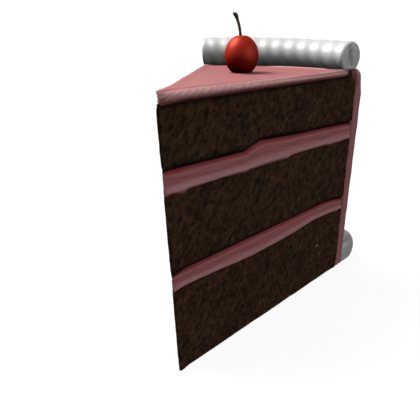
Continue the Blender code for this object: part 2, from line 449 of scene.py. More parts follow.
def relief(name, size, kind="CLOUDS", **settings):
    """A procedural texture for Displace, with features of this size."""
    made = bpy.data.textures.new(name, kind)
    made.noise_scale = size
    for key, value in settings.items():
        setattr(made, key, value)
    return made


def grain(name, scale, tilt=0.0):
    """An empty whose scale and tilt draw out a texture that is laid on it."""
    made = bpy.data.objects.new(name, None)
    made.scale = scale
    made.rotation_euler = (tilt, 0, 0)
    bpy.context.scene.collection.objects.link(made)
    return made


# %% Find the edges of a layer on each cut


def seam_line(piece, direction, side):
    """The (run, height) points of the upper (1) or lower (-1) edge of a layer on one cut."""
    skin = set()
    cut = set()
    for face in piece.data.polygons:
        if face.normal.z * direction > SAME_WAY:
            skin.update(face.vertices)
        elif is_cut_face(face):
            cut.update(face.vertices)
    spots = [piece.data.vertices[index].co for index in skin & cut]
    return sorted((run_of(spot), spot.z) for spot in spots if spot.x * side > 0)


def level_at(line, run):
    """The height of a line of (run, height) points at one run."""
    for (start, low), (end, high) in zip(line, line[1:]):
        if run <= end:
            share = (run - start) / max(end - start, 0.01 * MM)
            return low + (high - low) * clamp(share)
    return line[-1][1]


# %% Draw the crumb back beside the cream and paint shade in the crease
# A knife pulls dry sponge back from the soft cream next to it, which leaves a dark crease in the shade
# under the icing and above each filling. The crumb there is painted darker as well, as painted shade in
# the crease, beside the cream and beside the icing at the rim.
CREASE_DEPTH = 1.6 * MM
CREASE_REACH = 1.3 * MM
CREASE_SHADE_REACH = 1.7 * MM
# The painted shade is narrower beside the icing at the rim.
RIM_SHADE_NARROWING = 1.5


def edge_lines(piece, direction):
    """The upper (1) or lower (-1) edges of a layer on the two cuts, by the sign of x."""
    return {side: seam_line(piece, direction, side) for side in (-1, 1)}


def height_over(lines, point):
    """How far a point lies above an edge of its layer, or below it as a negative number."""
    return point.z - level_at(lines[1 if point.x > 0 else -1], run_of(point))


def crease_beside(piece, lines):
    """Draws the cut faces back near one edge of a layer."""
    for vertex in piece.data.vertices:
        if depth_in_cut(vertex.co) < CUT_DEPTH:
            crease = hill(height_over(lines, vertex.co), CREASE_REACH)
            calm = min(run_of(vertex.co) / TIP_CALM, 1)
            vertex.co -= nearer_normal(vertex.co) * CREASE_DEPTH * crease * calm


def paint_crease_shade(piece, edges):
    """Keeps, as an attribute, how close each vertex of a sponge is to cream, which paints shade there."""
    closeness = piece.data.attributes.new("crease_shade", "FLOAT", "POINT")
    for vertex in piece.data.vertices:
        spans = [abs(height_over(lines, vertex.co)) for lines in edges]
        spans.append(RIM_SHADE_NARROWING * abs(sponge_radius - run_of(vertex.co)))
        closeness.data[vertex.index].value = hill(min(spans), CREASE_SHADE_REACH)


# %% Raise the crumb where the icing is thin
# At the near cut, the end of the border has pressed the icing thin, and the crumb shows higher there.
NOTCH_RISE = 4.0 * MM
NOTCH_START = 106.0 * MM
NOTCH_STARTS_OVER = 1.5 * MM
NOTCH_ENDS_OVER = 2 * MM
NOTCH_BEHIND = 4 * MM
NOTCH_BELOW = 3 * MM


def notch(point):
    """1 where the icing is thin over the crumb, 0 away from there."""
    run = run_of(point)
    starts = ease((run - NOTCH_START) / NOTCH_STARTS_OVER)
    ends = ease((sponge_radius + MM - run) / NOTCH_ENDS_OVER)
    return starts * ends * ease(1 - depth_behind(point, near_normal) / NOTCH_BEHIND)


def raise_corner(point):
    """Raises the crumb's upper edge where the icing over it is thin."""
    from_top = ease(1 - (top_high.z - point.z) / NOTCH_BELOW)
    return point + Vector((0, 0, NOTCH_RISE * notch(point) * from_top))


print("the crumb rises by up to", NOTCH_RISE / MM, "mm under the border's end")

# %% Tear the crumb of each layer
# The pores of a risen cake are taller than wide, and the knife drags them a little towards the rim.
CRUMB_TILT = math.radians(-25)
crumb_grain = grain("crumb_grain", (1, 1, 1.5), CRUMB_TILT)
CRUMB_RELIEF = (
    (relief("sawn_face", 7 * MM, noise_depth=1), 0.45 * MM),
    (relief("pores", 1.7 * MM, "VORONOI"), 0.7 * MM),
    (relief("grit", 0.8 * MM, noise_depth=1), 0.35 * MM),
)
SPONGE_CUTS = 10
# The edges of each layer that touch cream: -1 for its lower ones, 1 for its upper ones.
CREAMED_EDGES = {"bottom": (), "middle": (-1,), "top": (-1, 1)}

for layer, directions in CREAMED_EDGES.items():
    sponge = copy_solid("sponge_" + layer, "crumb_" + layer)
    lift_skin(sponge, 1, SEAM_GAP)
    lift_skin(sponge, -1, SEAM_GAP)
    refine_cuts(sponge, SPONGE_CUTS)
    edges = [edge_lines(sponge, direction) for direction in directions]
    for lines in edges:
        crease_beside(sponge, lines)
    bare, inner = weigh_cuts(sponge)
    finish_with(sponge, "SMOOTH", factor=0.5, iterations=14, vertex_group=inner)
    for texture, strength in CRUMB_RELIEF:
        displace(sponge, texture, strength, crumb_grain, bare)
    move_vertices(sponge, lambda spot: Vector((spot.x, spot.y, max(spot.z, 0))))
    paint_crease_shade(sponge, edges)
    move_vertices(sponge, push_nose)
    if layer == "top":
        move_vertices(sponge, raise_corner)
    smooth(sponge, 60)
    sponge.data.materials.append(sponge_material)
    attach(sponge, "root")
    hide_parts("sponge_" + layer)
    count(sponge)

# %% [markdown]
# ## Pink buttercream
# The fillings and the coat are butter and sugar beaten with a little red: smooth, satin and slightly
# translucent, so light that enters comes out again softened and redder. A knife leaves faint strokes in
# it. The gloss varies with the strokes, and a little subsurface softens it. Where the knife cut through,
# the band has painted light and shade: pale painted sheen where it faces up, darker painted shade at its
# edges. An attribute holds each vertex's share of the band's width, and the colour stops follow it.

# %% Material: pink buttercream


def buttercream(name, body, deep, stroke_stretch, roughness, band_shading_stops):
    """Buttercream with faint strokes, and painted sheen and shade from stops of share and colour on a cut
    band.
    """
    made, tree, shader = new_material(name)
    place = stretched_coordinates(tree, stroke_stretch)
    strokes = noisy(tree, place, 2.2 * MM, {"Detail": 4, "Roughness": 0.55})
    tone = ramp(tree, strokes, ((0.30, deep), (0.62, body)))
    across = add_node(tree, "ShaderNodeAttribute", attribute_name="band_share").outputs["Fac"]
    spread = {"From Min": 0.3, "From Max": 0.7, "To Min": roughness - 0.08, "To Max": roughness + 0.08}
    # The band's stops lay painted sheen and shade over the cream's tone.
    looks = {
        "Base Color": mix(tree, 0.8, tone, ramp(tree, across, band_shading_stops)),
        "Roughness": add_node(tree, "ShaderNodeMapRange", {"Value": strokes, **spread}).outputs["Result"],
        "Normal": bumpy(tree, strokes, 0.35, 0.3 * MM),
        "IOR": 1.46,
        "Subsurface Weight": 0.15,
        "Subsurface Radius": (1.0, 0.45, 0.4),
        "Subsurface Scale": 1.5 * MM,
    }
    feed(tree, shader, looks)
    return made


# A filling's stops run from its foot to its top, and the coat's from its outer skin to its inner one.
# The pale stops paint sheen and highlight where a band faces up; the dark ones paint shade at its edges.
FILLING_BAND_SHADING = (
    (0.0, "#943c3f"),
    (0.08, "#d4898a"),
    (0.20, "#e4abac"),
    (0.45, "#d78688"),
    (0.78, "#d28082"),
    (0.9, "#c24c51"),
    (1.0, "#6e2427"),
)
ICING_BAND_SHADING = (
    (0.0, "#d88888"),
    (0.015, "#f2c2c2"),
    (0.08, "#dca6a6"),
    (0.35, "#d8a7a8"),
    (0.6, "#d28283"),
    (1.0, "#824243"),
)
filling_material = buttercream("spread_buttercream", "#dd9090", "#c87374", (1, 5, 0.7), 0.45, FILLING_BAND_SHADING)
icing_material = buttercream("smoothed_buttercream", "#da8a8a", "#d28181", (1, 1, 1), 0.42, ICING_BAND_SHADING)
print("made", filling_material.name, "and", icing_material.name)

# %% [markdown]
# ## The two fillings
# A filling runs through the whole slice and shows on both cuts as a soft band, drawn back a little from
# the knife between the sponges. The knife leaves long ridges in it: one below and one above the middle.
# The frame's solid gives the band's true edges. From them each vertex gets its share of the band's
# height, and that share decides how deep the vertex lies. Noise drawn out along the slice adds streaks,
# and here and there a small rag of cream hangs over the sponge below.

# %% Shape the fillings
FILLING_CUTS = 7
FILLING_LIFT = 0.3 * SEAM_GAP
drag_grain = grain("drag_grain", (4, 9, 1))
drag_marks = relief("drag_marks", 1.5 * MM, noise_depth=2)
# Pairs of a share of the band's height and how deep the band lies there, from its foot to its top.
BAND_PROFILE = ((0, 1.0 * MM), (0.12, 0.1 * MM), (0.45, 0.65 * MM), (0.78, 0.5 * MM), (1, 2.6 * MM))
RAG_SIZE = 8 * MM
RAG_DEPTH = 0.5 * MM
RAG_OUT = 1.6
RAG_SHARE = 0.2


def band_depth(share):
    """How far behind the cut a band lies, eased between the points of its profile."""
    for (start, shallow), (end, deep) in zip(BAND_PROFILE, BAND_PROFILE[1:]):
        if share <= end:
            return shallow + (deep - shallow) * ease((share - start) / (end - start))
    return BAND_PROFILE[-1][1]


def groove_band(piece):
    """Lays a band's cut faces back, and keeps each vertex's share of the height as an attribute."""
    lines = {side: (seam_line(piece, -1, side), seam_line(piece, 1, side)) for side in (-1, 1)}
    shares = piece.data.attributes.new("band_share", "FLOAT", "POINT")
    for vertex in piece.data.vertices:
        low_line, high_line = lines[1 if vertex.co.x > 0 else -1]
        run = run_of(vertex.co)
        low = level_at(low_line, run)
        high = level_at(high_line, run)
        share = (vertex.co.z - low) / (high - low)
        shares.data[vertex.index].value = share
        depth = depth_in_cut(vertex.co)
        if depth < CUT_DEPTH:
            calm = min(run / TIP_CALM, 1)
            spot = Vector((vertex.co.x, vertex.co.y, low)) / RAG_SIZE
            rag = RAG_DEPTH * clamp(3 * noise.noise(spot) - 0.5) * max(1 - share / RAG_SHARE, 0)
            vertex.co += nearer_normal(vertex.co) * (depth - band_depth(share) + RAG_OUT * rag) * calm
            vertex.co.z -= rag * calm


for level in ("lower", "upper"):
    filling = copy_solid("filling_" + level, "buttercream_" + level)
    lift_skin(filling, 1, FILLING_LIFT)
    lift_skin(filling, -1, FILLING_LIFT)
    refine_cuts(filling, FILLING_CUTS)
    groove_band(filling)
    bare = weigh_cuts(filling)[0]
    displace(filling, drag_marks, 0.45 * MM, drag_grain, bare)
    move_vertices(filling, push_nose)
    smooth(filling, 60)
    filling.data.materials.append(filling_material)
    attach(filling, "root")
    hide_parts("filling_" + level)
    count(filling)

# %% [markdown]
# ## The icing
# One coat covers the top and the outer side. A baker spreads it round a whole cake, then the knife cuts
# it, so it is made the same way: a cylinder as large as the iced cake, cut along both cut faces, with
# its outer corner bevelled round. The cake inside it, a smaller wedge, is then taken away with a
# Boolean, which leaves the coat as it is: thin on top and thicker at the side.

# %% Cut a wedge from a whole round cake


def whole_cake(name, radius, height, base=0.0):
    centre = middle + Vector((0, 0, base + height / 2))
    bpy.ops.mesh.primitive_cylinder_add(vertices=360, radius=radius, depth=height, location=centre)
    return settle(name)


def cut_wedge(piece, spread=0.0):
    """Cuts away all but the slice; a spread moves both cuts outwards."""
    for normal in cut_normals:
        place = middle + normal * spread
        edit(piece)
        bpy.ops.mesh.bisect(plane_co=place, plane_no=normal, use_fill=True, clear_outer=True)
        close_edit()


def round_rim(piece, radius, height, width):
    """Bevels the edge that runs round the top of a cake."""
    weights = piece.data.attributes.new("bevel_weight_edge", "FLOAT", "EDGE")
    for edge in piece.data.edges:
        ends = [piece.data.vertices[index].co for index in edge.vertices]
        on_rim = all(run_of(end) > radius - 0.1 * MM and end.z > height - 0.1 * MM for end in ends)
        weights.data[edge.index].value = float(on_rim)
    finish_with(piece, "BEVEL", limit_method="WEIGHT", width=width, segments=6)


OUTER_CORNER = 4.7 * MM
coat = whole_cake("icing_coat", cake_radius, cake_height)
cut_wedge(coat)
round_rim(coat, cake_radius, cake_height, OUTER_CORNER)
count(coat, "outside")

# %% Take the cake out of its coat
# The cake dips a little towards its middle, so the icing is thickest at the tip.
SHOULDER = 5.1 * MM
INNER_LAP = 0.5 * MM
TOP_LAP = 0.6 * MM
TOP_DIP = 1.1 * MM
BELOW = 20 * MM
inner_radius = top_high.y - middle.y - INNER_LAP
inner_height = top_high.z - TOP_LAP
inside = whole_cake("inside_of_coat", inner_radius, inner_height + BELOW, base=-BELOW)
edit_faces(inside, lambda face: face.normal.z > 0.9)
bpy.ops.mesh.poke()
close_edit()
for vertex in inside.data.vertices:
    if run_of(vertex.co) < MM and vertex.co.z > 0:
        vertex.co.z -= TOP_DIP
cut_wedge(inside, spread=3 * MM)
round_rim(inside, inner_radius, inner_height, SHOULDER)
finish_with(coat, "BOOLEAN", operation="DIFFERENCE", object=inside, solver="EXACT")
bpy.data.objects.remove(inside)
count(coat, "hollowed")

# %% Soften the coat's cut edges
# Voxel remeshing gives the coat an even skin of small faces. Then every vertex near a cut edge is drawn
# back onto a round edge, as soft icing has. The round shrinks to nothing at the narrow tip.
# The far edge was cut cleanly, and the near one was dragged round by the knife.
CLEAN_EDGE = 1.9 * MM
SIDE_EDGE = 1.0 * MM
DRAGGED_EDGE = 1.4 * MM
DRAGGED_WIDER = 1.6 * MM
SIDE_STARTS = cake_height - 12 * MM
SIDE_ENDS = cake_height - 4 * MM
INNER_EDGE = 1.8 * MM
TIP_SHARE = 0.5
SQUARENESS = 1.5

finish_with(coat, "REMESH", mode="VOXEL", voxel_size=0.7 * MM, use_smooth_shade=True)


def skin_of(point, radius, height, corner):
    """How far a point lies outside a round-cornered cake, and the outward direction there."""
    run = run_of(point)
    over = Vector((run - radius + corner, point.z - height + corner))
    beyond = Vector((max(over.x, 0), max(over.y, 0)))
    distance = beyond.length + min(max(over.x, over.y), 0) - corner
    if beyond.length > 0:
        facing = beyond.normalized()
    else:
        facing = Vector((1, 0)) if over.x > over.y else Vector((0, 1))
    outward = Vector((point.x - middle.x, point.y - middle.y, 0)) / run
    return distance, outward * facing.x + Vector((0, 0, facing.y))


def outer_skin(point):
    return skin_of(point, cake_radius, cake_height, OUTER_CORNER)


def inner_skin(point, run):
    lowered = inner_height - TOP_DIP * max(1 - run / inner_radius, 0)
    return skin_of(point, inner_radius, lowered, SHOULDER)


def soften(point, cut_normal, from_skin, skin_normal, radius):
    """Draws a point near the edge between a cut and a skin back onto a rounded slope."""
    from_cut = depth_behind(point, cut_normal)
    if from_cut >= radius or from_skin >= radius:
        return point
    away = Vector((radius - from_cut, radius - from_skin))
    reach = (away.x ** SQUARENESS + away.y ** SQUARENESS) ** (1 / SQUARENESS)
    if reach <= radius:
        return point
    pull = 1 - radius / reach
    return point - cut_normal * away.x * pull - skin_normal * away.y * pull


BLUNT_RADIUS = 1.3 * MM
BLUNT_CENTRE = middle.y + BLUNT_RADIUS / math.sin(HALF_ANGLE)


def blunt_tip(point):
    """Draws the points at the tip back onto an upright round nose."""
    from_centre = Vector((point.x - middle.x, point.y - BLUNT_CENTRE, 0))
    if from_centre.y > -BLUNT_RADIUS * math.sin(HALF_ANGLE) or from_centre.length <= BLUNT_RADIUS:
        return point
    return point - from_centre * (1 - BLUNT_RADIUS / from_centre.length)


def topness(point):
    """1 on the top of the coat, 0 on its side, and between them round the corner."""
    return clamp((point.z - SIDE_STARTS) / (SIDE_ENDS - SIDE_STARTS))


def soften_cut_edges(point):
    run = run_of(point)
    room = TIP_SHARE * run * math.sin(HALF_ANGLE)
    dragged = SIDE_EDGE + (DRAGGED_EDGE - SIDE_EDGE + DRAGGED_WIDER * run / cake_radius) * topness(point)
    for cut_normal, edge in zip(cut_normals, (CLEAN_EDGE, dragged)):
        outside, outer_normal = outer_skin(point)
        point = soften(point, cut_normal, -outside, outer_normal, min(edge, room))
        within, inner_normal = inner_skin(point, run)
        point = soften(point, cut_normal, within, -inner_normal, min(INNER_EDGE, room))
    return point


move_vertices(coat, soften_cut_edges)
move_vertices(coat, blunt_tip)
print("the far edge is rounded by", CLEAN_EDGE / MM, "mm")

# %% Lift the rim that the knife left
# Drawing the knife out lifts a low ridge beside both cut edges and at the tip, and drags some icing
# outwards at the near edge of the side.
FAR_LIFT = 0.55 * MM
NEAR_LIFT = 0.4 * MM
FAR_PLACE = 2.2 * MM
NEAR_PLACE = 1.7 * MM
RIDGE_WIDTH = 2.2 * MM
TIP_LIFT = 0.4 * MM
TIP_WIDTH = 16 * MM
DRAG_OUT = 0.9 * MM
DRAG_WIDTH = 5 * MM
FAR_GROWS_OVER = 12 * MM
NEAR_GROWS_OVER = 15 * MM


def lift_rim(point):
    far, near = (depth_behind(point, normal) for normal in cut_normals)
    on_top = clamp(1 - (cake_height - point.z) / (4 * MM))
    run = run_of(point)
    lift = FAR_LIFT * hill(far - FAR_PLACE, RIDGE_WIDTH) * min(run / FAR_GROWS_OVER, 1)
    lift += NEAR_LIFT * hill(near - NEAR_PLACE, RIDGE_WIDTH) * clamp(run / NEAR_GROWS_OVER - 0.5)
    lift += TIP_LIFT * hill(run, TIP_WIDTH)
    outward = Vector((point.x - middle.x, point.y - middle.y, 0)) / run
    past_inside = clamp((run - inner_radius) / (cake_radius - inner_radius))
    drag = DRAG_OUT * hill(near, DRAG_WIDTH) * past_inside
    return point + Vector((0, 0, lift * on_top)) + outward * drag


move_vertices(coat, lift_rim)
print("the ridges are", FAR_LIFT / MM, "and", NEAR_LIFT / MM, "mm high")

# %% Find each point's share of the cut band
# The share of the coat's thickness, from its outer skin (0) to its inner one (1), picks the cut band's
# painted sheen and shade. At the side the band is redder at its edges and paler between them, and its
# inner edge takes the darker stops, painted shade where it meets the crumb.
BAND_DEEP = 3.4 * MM
SIDE_TINT = 0.62
SIDE_PALER = 0.13
# From here on the side band takes the darker stops, painted shade where it meets the crumb.
SIDE_SHADE_FROM = 0.75


def coat_share(point):
    if depth_in_cut(point) > BAND_DEEP or point.z > cake_height - 0.02 * MM:
        return 0
    outside = -outer_skin(point)[0]
    within = inner_skin(point, run_of(point))[0]
    share = clamp(outside / max(outside + within, 0.1 * MM))
    top = topness(point)
    at_side = SIDE_TINT - SIDE_PALER * math.sin(math.pi * share) + max(share - SIDE_SHADE_FROM, 0)
    return share * top + at_side * (1 - top)


def is_top_band(face):
    """Whether a face lies on the band where the top coat was cut."""
    facing = max(face.normal.dot(normal) for normal in cut_normals)
    return facing > 0.4 and depth_in_cut(face.center) < BAND_DEEP and face.center.z > SIDE_STARTS


edit_faces(coat, is_top_band)
bpy.ops.mesh.subdivide(number_cuts=1, smoothness=0.5)
close_edit()
finish_with(coat, "SMOOTH", factor=0.5, iterations=1)
count(coat, "with a finer cut band")

# %% Press the near band out and brush the cut band
# Near the tip the knife pushed the icing out over the crumb. It leaves fine slanting marks on the upper
# half of the band and level streaks further along. A texture would be smoothed away at this size, so a
# wave of the run and the height places each mark.
BULGE = 1.9 * MM
BULGE_DEEP = 3.5 * MM
BULGE_FADE = 1.1
BULGE_HIGH = 0.85
BRUSH_PITCH = 3.2 * MM
BRUSH_SLANT = 2.4
BRUSH_DEPTH = 0.13 * MM
BRUSH_FADE = 90 * MM
BRUSHED_SHARE = 0.65
STREAK_DEPTH = 0.18 * MM


def bulge_band(point):
    """Presses the near band out over the crumb, so that it slopes at the top and curls under."""
    near = depth_behind(point, near_normal)
    share = coat_share(point)
    if near > BULGE_DEEP or not 0 < share < 1:
        return point
    run = run_of(point)
    weight = (1 - max(near, 0) / BULGE_DEEP) * min(run / (5 * MM), 1) * topness(point)
    weight *= max(1 - BULGE_FADE * run / cake_radius, 0)
    return point + near_normal * BULGE * math.sin(math.pi * share ** BULGE_HIGH) * weight


def brush(point):
    """Slanting knife marks on the upper half of the cut band."""
    share = coat_share(point)
    if not 0 < share < BRUSHED_SHARE or point.z < SIDE_ENDS:
        return point
    wander = noise.noise(point / (3 * MM))
    run = run_of(point)
    mark = math.sin(2 * math.pi * (run - BRUSH_SLANT * point.z) / BRUSH_PITCH + 2 * wander)
    slanting = BRUSH_DEPTH * mark * max(1 - run / BRUSH_FADE, 0.2)
    level = STREAK_DEPTH * math.sin(2 * math.pi * share * 3 + wander) * min(run / BRUSH_FADE, 1)
    return point + nearer_normal(point) * (slanting + level)


move_vertices(coat, bulge_band)
move_vertices(coat, lambda spot: spot + Vector((0, 0, NOTCH_RISE * notch(spot) * coat_share(spot))))
move_vertices(coat, brush)
print("the near band stands out by up to", BULGE / MM, "mm, with a mark every", BRUSH_PITCH / MM, "mm")

# %% Push up a wave, stroke the icing and finish the coat
# The nozzle pushed a thin wave of icing up in front of the border, at its near end; its crest is painted
# pale, a painted highlight.
WAVE_RUN = 100.6 * MM
WAVE_WIDTH = 1.4 * MM
WAVE_RISE = 0.6 * MM
WAVE_HIGHLIGHT_SHARE = 0.015
COAT_PUSH = 1.1 * MM


def wave(point):
    """1 on the crest of the wave of icing in front of the border, 0 away from it."""
    if point.z < cake_height - 2 * MM:
        return 0
    near = depth_behind(point, near_normal)
    along = ease((near - 5 * MM) / (6 * MM)) * ease((46 * MM - near) / (14 * MM))
    return along * hill(run_of(point) - WAVE_RUN, WAVE_WIDTH)


move_vertices(coat, lambda spot: spot + Vector((0, 0, WAVE_RISE * wave(spot))))
displace(coat, relief("knife_strokes", 9 * MM, noise_depth=1), 0.35 * MM)
move_vertices(coat, lambda spot: push_nose(Vector((spot.x, spot.y, max(spot.z, 0))), COAT_PUSH, 0))
# Each share picks the band's painted sheen and shade, and the wave's crest gets a painted highlight.
shares = coat.data.attributes.new("band_share", "FLOAT", "POINT")
for vertex in coat.data.vertices:
    shares.data[vertex.index].value = max(coat_share(vertex.co), WAVE_HIGHLIGHT_SHARE * wave(vertex.co))
coat.data.materials.append(icing_material)
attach(coat, "root")
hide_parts("icing")
count(coat)

# %% [markdown]
# ## Piped cream
# The borders are white cream pressed through a round nozzle that is pushed forward and back, so that
# each bump leans on the last. Whipped cream is white, full of air, and wet enough to take a broad, bright
# highlight. One rope of it is a disc spun about the cake's middle. Its grooves follow a rule: they wind
# once round the rope for each bump, and are shallow, as the photo shows. Where the cream ends it was
# pinched off, which leaves a faint swirl and one soft fold in the flat end.

# %% Material: piped cream


def piped_cream():
    made, tree, shader = new_material("piped_white_cream")
    place = stretched_coordinates(tree, (1, 1, 1))
    air = noisy(tree, place, 1.1 * MM, {"Detail": 3, "Roughness": 0.5})
    looks = {
        "Base Color": ramp(tree, air, ((0.3, "#eeedec"), (0.7, "#f7f6f5"))),
        "Normal": bumpy(tree, air, 0.2, 0.15 * MM),
        "Roughness": 0.45,
        "IOR": 1.62,
        "Specular IOR Level": 1.0,
        "Subsurface Weight": 0.1,
        "Subsurface Radius": (1, 0.95, 0.9),
        "Subsurface Scale": 1.2 * MM,
    }
    feed(tree, shader, looks)
    return made


cream_material = piped_cream()
print("made", cream_material.name)

# %% Spin a rope and press its grooves
BUMPS = 11
GROOVE_SHARE = 0.042
ROPE_SIDES = 56
STEPS_PER_BUMP = 20
CROWDING = 0.7
DROP_LENGTH = 25 * MM
CAP_RINGS = 9
CAP_DOME = 0.5 * MM
SWIRL_TURNS = 2
SWIRL_SHARE = 0.03
FOLD_DEPTH = 1.9 * MM
FOLD_WIDTH = 0.2


def swell(bumps_along):
    """0 in a groove between two bumps, 1 on a crest."""
    return 0.5 - 0.5 * math.cos(2 * math.pi * bumps_along)


def pipe_rope(
    name, run, height, half_long, half_short, lean, insets, floor, wall,
    end_length, end_share, drop, fold_turn, fold_place,
):
    """An oval rope that ends inside the cuts, above a floor and outside a wall, with a fold in its ends."""
    right_turn, left_turn = (HALF_ANGLE - math.asin(inset / run) for inset in insets)
    sweep = right_turn + left_turn
    start = middle + Vector((run * math.sin(right_turn), run * math.cos(right_turn), height))
    bpy.ops.mesh.primitive_circle_add(
        vertices=ROPE_SIDES,
        radius=half_short,
        fill_type="NGON",
        location=start,
        rotation=(math.pi / 2, 0, math.pi / 2 - right_turn),
    )
    piece = settle(name)
    edit(piece)
    bpy.ops.mesh.spin(steps=BUMPS * STEPS_PER_BUMP, angle=-sweep, center=middle, axis=(0, 0, 1))
    face_outwards()
    edit_faces(piece, lambda face: len(face.vertices) > 4)
    for ring in range(CAP_RINGS):
        bpy.ops.mesh.inset(thickness=half_short / (CAP_RINGS + 0.5), use_even_offset=False)
    close_edit()
    for vertex in piece.data.vertices:
        from_middle = vertex.co - middle
        turn = math.atan2(from_middle.x, from_middle.y)
        sideways = run_of(vertex.co) - run
        around = math.atan2(from_middle.z - height, sideways)
        spoke = min(math.hypot(from_middle.z - height, sideways) / half_short, 1)
        even = (right_turn - turn) / sweep
        share = even - CROWDING * math.sin(2 * math.pi * even) / (2 * math.pi)
        turn = right_turn - sweep * share
        if spoke < 0.98:
            swirl = SWIRL_SHARE * half_short * (swell(spoke * SWIRL_TURNS + around / (2 * math.pi)) - 0.5)
            from_fold = spoke * math.cos(around - fold_turn) - fold_place
            out_of_end = (CAP_DOME - FOLD_DEPTH * hill(from_fold, FOLD_WIDTH)) * (1 - spoke ** 2) + swirl
            turn += out_of_end / run * (1 if share < 0.5 else -1)
        to_end = run * sweep * min(share, 1 - share)
        size = 1 - GROOVE_SHARE * (1 - swell(share * BUMPS + around / (2 * math.pi)))
        past = clamp(1 - to_end / end_length)
        size *= 1 - end_share * (1 - math.sqrt(1 - past ** 2))
        along_long = half_long * size * spoke * math.cos(around - lean)
        along_short = half_short * size * spoke * math.sin(around - lean)
        out = max(run + along_long * math.cos(lean) - along_short * math.sin(lean), wall)
        sunk = drop * hill(run * sweep * share, DROP_LENGTH)
        up = max(height - sunk + along_long * math.sin(lean) + along_short * math.cos(lean), floor)
        vertex.co = middle + Vector((out * math.sin(turn), out * math.cos(turn), up))
    return piece


top_rope = pipe_rope(
    "piped_rope_top",
    run=112.2 * MM,
    height=cake_height + 6.3 * MM,
    half_long=9.0 * MM,
    half_short=7.4 * MM,
    lean=0,
    insets=(2.6 * MM, 0.3 * MM),
    floor=cake_height - 1.6 * MM,
    wall=0,
    end_length=2.0 * MM,
    end_share=0.11,
    drop=1.2 * MM,
    fold_turn=math.radians(10),
    fold_place=-0.15,
)
base_rope = pipe_rope(
    "piped_rope_base",
    run=123.0 * MM,
    height=8.8 * MM,
    half_long=15.6 * MM,
    half_short=11.1 * MM,
    lean=math.radians(-30),
    insets=(0.4 * MM, 0.4 * MM),
    floor=0,
    wall=cake_radius - 0.4 * MM,
    end_length=4 * MM,
    end_share=0.25,
    drop=0,
    fold_turn=math.radians(105),
    fold_place=0.4,
)
for rope, node in ((top_rope, "cream_border_top"), (base_rope, "cream_border_base")):
    smooth(rope)
    rope.data.materials.append(cream_material)
    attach(rope, "root")
    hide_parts(node)
    count(rope)

# %% [markdown]
# ## The cherry and its stem
# A cocktail cherry is a glossy ball, a little taller than wide, with a dimple where its stem stands.
# Its clear red syrup shines red rather than white, so the shine is tinted, and a high IOR makes up for
# the brightness that the tint takes. Towards its foot the skin is painted darker and its shine is turned
# down: painted shade. A turned shape is an outline spun about its axis. The stem is a disc extruded step
# by step along a gentle curve, dry and brown, with darker fibres along its length.

# %% Materials: cherry skin and dry stem
CHERRY_SUNK = 1.3 * MM
CHERRY_FOOT = cake_height - CHERRY_SUNK
CHERRY_STRETCH = 1.6
FOOT_SHADE_HEIGHT = 9 * MM


def cherry_skin():
    made, tree, shader = new_material("glazed_cherry_skin")
    place = stretched_coordinates(tree, (1, 1, CHERRY_STRETCH))
    flecks = noisy(tree, place, 4 * MM, {"Detail": 3, "Roughness": 0.5})
    tone = ramp(tree, flecks, ((0.3, "#b5170a"), (0.7, "#cc1e0e")))
    # Towards the foot, colour and shine fade into painted shade.
    height = add_node(tree, "ShaderNodeSeparateXYZ", {"Vector": place}).outputs["Z"]
    start, end = (level / CHERRY_STRETCH for level in (CHERRY_FOOT, CHERRY_FOOT + FOOT_SHADE_HEIGHT))
    span = {"Value": height, "From Min": start, "From Max": end}
    clear_of_foot_shade = add_node(tree, "ShaderNodeMapRange", span).outputs["Result"]
    looks = {
        "Base Color": mix(tree, clear_of_foot_shade, colour("#5e0905"), tone),
        "Specular IOR Level": clear_of_foot_shade,
        "Roughness": 0.48,
        "IOR": 2.15,
        "Specular Tint": (1, 0.17, 0.1, 1),
        "Subsurface Weight": 0.05,
        "Subsurface Radius": (1, 0.15, 0.1),
        "Subsurface Scale": 2 * MM,
    }
    feed(tree, shader, looks)
    return made


def dry_stem():
    made, tree, shader = new_material("dry_brown_stem")
    place = stretched_coordinates(tree, (1, 1, 6))
    fibres = noisy(tree, place, 0.5 * MM, {"Detail": 3, "Roughness": 0.6})
    body = ramp(tree, fibres, ((0.35, "#3a2717"), (0.65, "#7a5a3c")))
    normal = bumpy(tree, fibres, 0.4, 0.1 * MM)
    feed(tree, shader, {"Base Color": body, "Normal": normal, "Roughness": 0.6})
    return made


cherry_material = cherry_skin()
stem_material = dry_stem()
print("made", cherry_material.name, "and", stem_material.name)

# %% Turn the cherry
cherry_low, cherry_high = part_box("cherry")
cherry_centre = (cherry_low + cherry_high) / 2
cherry_radius = (cherry_high.x - cherry_low.x) / 2
CHERRY_HALF_HEIGHT = 8.3 * MM
DIMPLE_RADIUS = 1.7 * MM
DIMPLE_DEPTH = 0.45 * MM
CHERRY_ROWS = 40
cherry_middle = Vector((cherry_centre.x, cherry_centre.y, CHERRY_FOOT + CHERRY_HALF_HEIGHT))


def cherry_outline():
    """Points from the dimple's floor round to the foot of the cherry, in the plane of +X."""
    points = []
    for row in range(CHERRY_ROWS + 1):
        turn = math.pi * row / CHERRY_ROWS
        out = cherry_radius * math.sin(turn)
        up = CHERRY_HALF_HEIGHT * math.cos(turn)
        if up > 0:
            up -= DIMPLE_DEPTH * hill(out, DIMPLE_RADIUS)
        points.append(cherry_middle + Vector((out, 0, up)))
    return points


def wire(name, points):
    """An open line of vertices joined by edges, for spinning."""
    mesh = bpy.data.meshes.new(name)
    mesh.from_pydata([tuple(point) for point in points], [(i, i + 1) for i in range(len(points) - 1)], [])
    piece = bpy.data.objects.new(name, mesh)
    bpy.context.scene.collection.objects.link(piece)
    return piece


